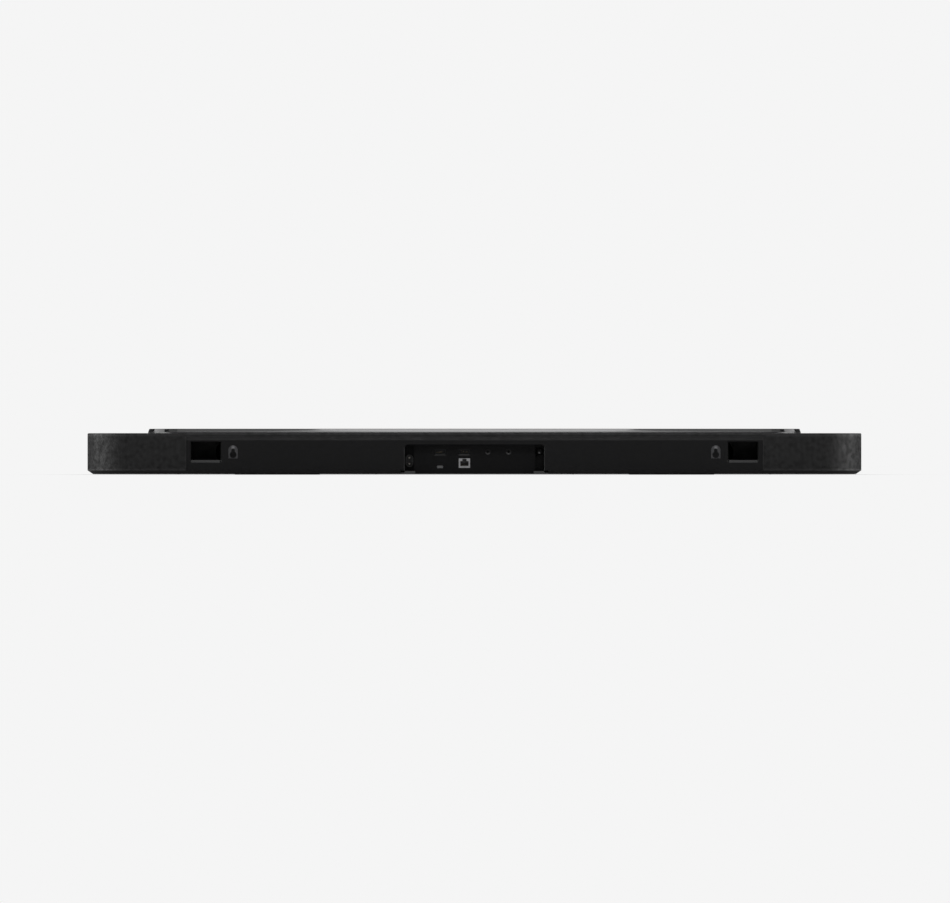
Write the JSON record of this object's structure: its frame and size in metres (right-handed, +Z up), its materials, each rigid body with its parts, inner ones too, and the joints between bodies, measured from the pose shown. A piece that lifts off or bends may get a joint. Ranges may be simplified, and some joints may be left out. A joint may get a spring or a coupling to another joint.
{
  "type": "soundbar",
  "caption": "Long low soundbar with rounded perforated ends, a raised glass slab, flared rear bass ports, keyhole hangers and a recessed connector bay with plug wells.",
  "frame": {"origin": "centre of the footprint, on the surface that the feet stand on", "axes": "+X along the length to the listener's right, -Y towards the listener, +Y out of the connectors, +Z up"},
  "size_m": [1.1, 0.1216, 0.065],
  "materials": {
    "rubber": "matt",
    "base_plastic": "fine spark texture",
    "zinc_steel": "zinc",
    "cabinet_plastic": "moulded",
    "perforated_metal": "satin black, finely perforated",
    "gloss_trim": "polished black",
    "board": "solder mask",
    "black_glass": "opaque black, polished edge",
    "rear_plastic": "fine spark texture",
    "bay_plastic": "fine spark texture",
    "duct_plastic": "matt",
    "hanger_steel": "zinc",
    "socket_steel": "plated",
    "shield_steel": "tinned",
    "socket_plastic": "moulded",
    "pin_brass": "nickel plated",
    "shutter_plastic": "polished",
    "sink_aluminium": "extruded",
    "transformer_body": "taped winding on a ferrite core",
    "capacitor_can": "sleeved can",
    "light_lens": "diffusing",
    "driver_frame": "black",
    "driver_rubber": "matt",
    "driver_cone": "fibre cone",
    "driver_magnet": "ferrite and plated steel"
  },
  "bodies": {
    "housing": {"rubber_feet": "rubber", "base_plate": "base_plastic", "case_screws": "zinc_steel", "cabinet": "cabinet_plastic", "top_deck": "cabinet_plastic", "grille_wrap": "perforated_metal", "glass_tray": "gloss_trim", "touch_board": "board", "top_glass": "black_glass", "rear_panel": "rear_plastic", "connector_bay": "bay_plastic", "port_duct_left": "duct_plastic", "port_duct_right": "duct_plastic", "hanger_plate_left": "hanger_steel", "hanger_plate_right": "hanger_steel", "io_board": "board", "hdmi_socket_1": "socket_steel", "hdmi_socket_2": "socket_steel", "usb_socket": "socket_steel", "ethernet_shield": "shield_steel", "ethernet_insert": "socket_plastic", "audio_jack_1": "socket_plastic", "audio_jack_2": "socket_plastic", "power_inlet": "socket_plastic", "inlet_pins": "pin_brass", "optical_socket": "socket_plastic", "main_board": "board", "heat_sink": "sink_aluminium", "power_board": "board", "transformer": "transformer_body", "capacitors": "capacitor_can", "status_light": "light_lens", "woofer_frame_1": "driver_frame", "woofer_surround_1": "driver_rubber", "woofer_magnet_1": "driver_magnet", "woofer_frame_2": "driver_frame", "woofer_surround_2": "driver_rubber", "woofer_magnet_2": "driver_magnet", "woofer_frame_3": "driver_frame", "woofer_surround_3": "driver_rubber", "woofer_magnet_3": "driver_magnet", "woofer_frame_4": "driver_frame", "woofer_surround_4": "driver_rubber", "woofer_magnet_4": "driver_magnet", "tweeter_frame": "driver_frame", "tweeter_magnet": "driver_magnet", "upfire_frame_left": "driver_frame", "upfire_surround_left": "driver_rubber", "upfire_magnet_left": "driver_magnet", "upfire_frame_right": "driver_frame", "upfire_surround_right": "driver_rubber", "upfire_magnet_right": "driver_magnet"},
    "woofer_cone_1": {"woofer_cone_1": "driver_cone"},
    "woofer_cone_2": {"woofer_cone_2": "driver_cone"},
    "woofer_cone_3": {"woofer_cone_3": "driver_cone"},
    "woofer_cone_4": {"woofer_cone_4": "driver_cone"},
    "tweeter_dome": {"tweeter_dome": "driver_cone"},
    "upfire_cone_left": {"upfire_cone_left": "driver_cone"},
    "upfire_cone_right": {"upfire_cone_right": "driver_cone"},
    "optical_shutter": {"optical_shutter": "shutter_plastic"}
  },
  "joints": [
    {"name": "woofer_stroke_1", "type": "slide", "parent": "housing", "child": "woofer_cone_1", "axis": [0, -1, 0], "range_m": [-0.002, 0.002], "stiffness_N_per_m": 1200},
    {"name": "woofer_stroke_2", "type": "slide", "parent": "housing", "child": "woofer_cone_2", "axis": [0, -1, 0], "range_m": [-0.002, 0.002], "stiffness_N_per_m": 1200},
    {"name": "woofer_stroke_3", "type": "slide", "parent": "housing", "child": "woofer_cone_3", "axis": [0, -1, 0], "range_m": [-0.002, 0.002], "stiffness_N_per_m": 1200},
    {"name": "woofer_stroke_4", "type": "slide", "parent": "housing", "child": "woofer_cone_4", "axis": [0, -1, 0], "range_m": [-0.002, 0.002], "stiffness_N_per_m": 1200},
    {"name": "tweeter_stroke", "type": "slide", "parent": "housing", "child": "tweeter_dome", "axis": [0, -1, 0], "range_m": [-0.0004, 0.0004], "stiffness_N_per_m": 1500},
    {"name": "upfire_stroke_left", "type": "slide", "parent": "housing", "child": "upfire_cone_left", "axis": [0, 0, 1], "range_m": [-0.0015, 0.0015], "stiffness_N_per_m": 1000},
    {"name": "upfire_stroke_right", "type": "slide", "parent": "housing", "child": "upfire_cone_right", "axis": [0, 0, 1], "range_m": [-0.0015, 0.0015], "stiffness_N_per_m": 1000},
    {"name": "optical_shutter_hinge", "type": "hinge", "parent": "housing", "child": "optical_shutter", "pos_m": [-0.09225, 0.0344, 0.0357], "axis": [-1, 0, 0], "range_deg": [0, 80], "stiffness_Nm_per_rad": 0.0003}
  ]
}
